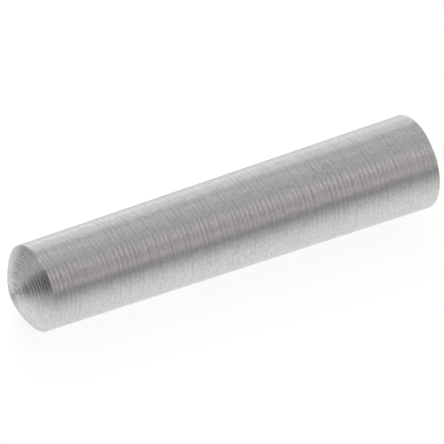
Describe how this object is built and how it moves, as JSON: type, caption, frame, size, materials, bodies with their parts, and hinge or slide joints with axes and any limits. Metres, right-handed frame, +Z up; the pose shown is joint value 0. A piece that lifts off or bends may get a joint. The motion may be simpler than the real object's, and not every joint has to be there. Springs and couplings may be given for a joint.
{
  "type": "taper pin",
  "caption": "Tapered steel locating pin with rounded ends; driven small end first into a matching reamed hole, it wedges fast and fixes the place of the parts it joins.",
  "frame": {"origin": "centre of the small end's rim, where the taper has its nominal diameter", "axes": "the pin lies along X, with +X from the small end to the large end, and +Z up"},
  "size_m": [0.0322, 0.0066, 0.0066],
  "materials": {
    "turned_steel": "bare free-cutting steel, fine turned with visible feed marks round the taper and the ends"
  },
  "bodies": {
    "root": {"taper_pin": "turned_steel"}
  },
  "joints": []
}
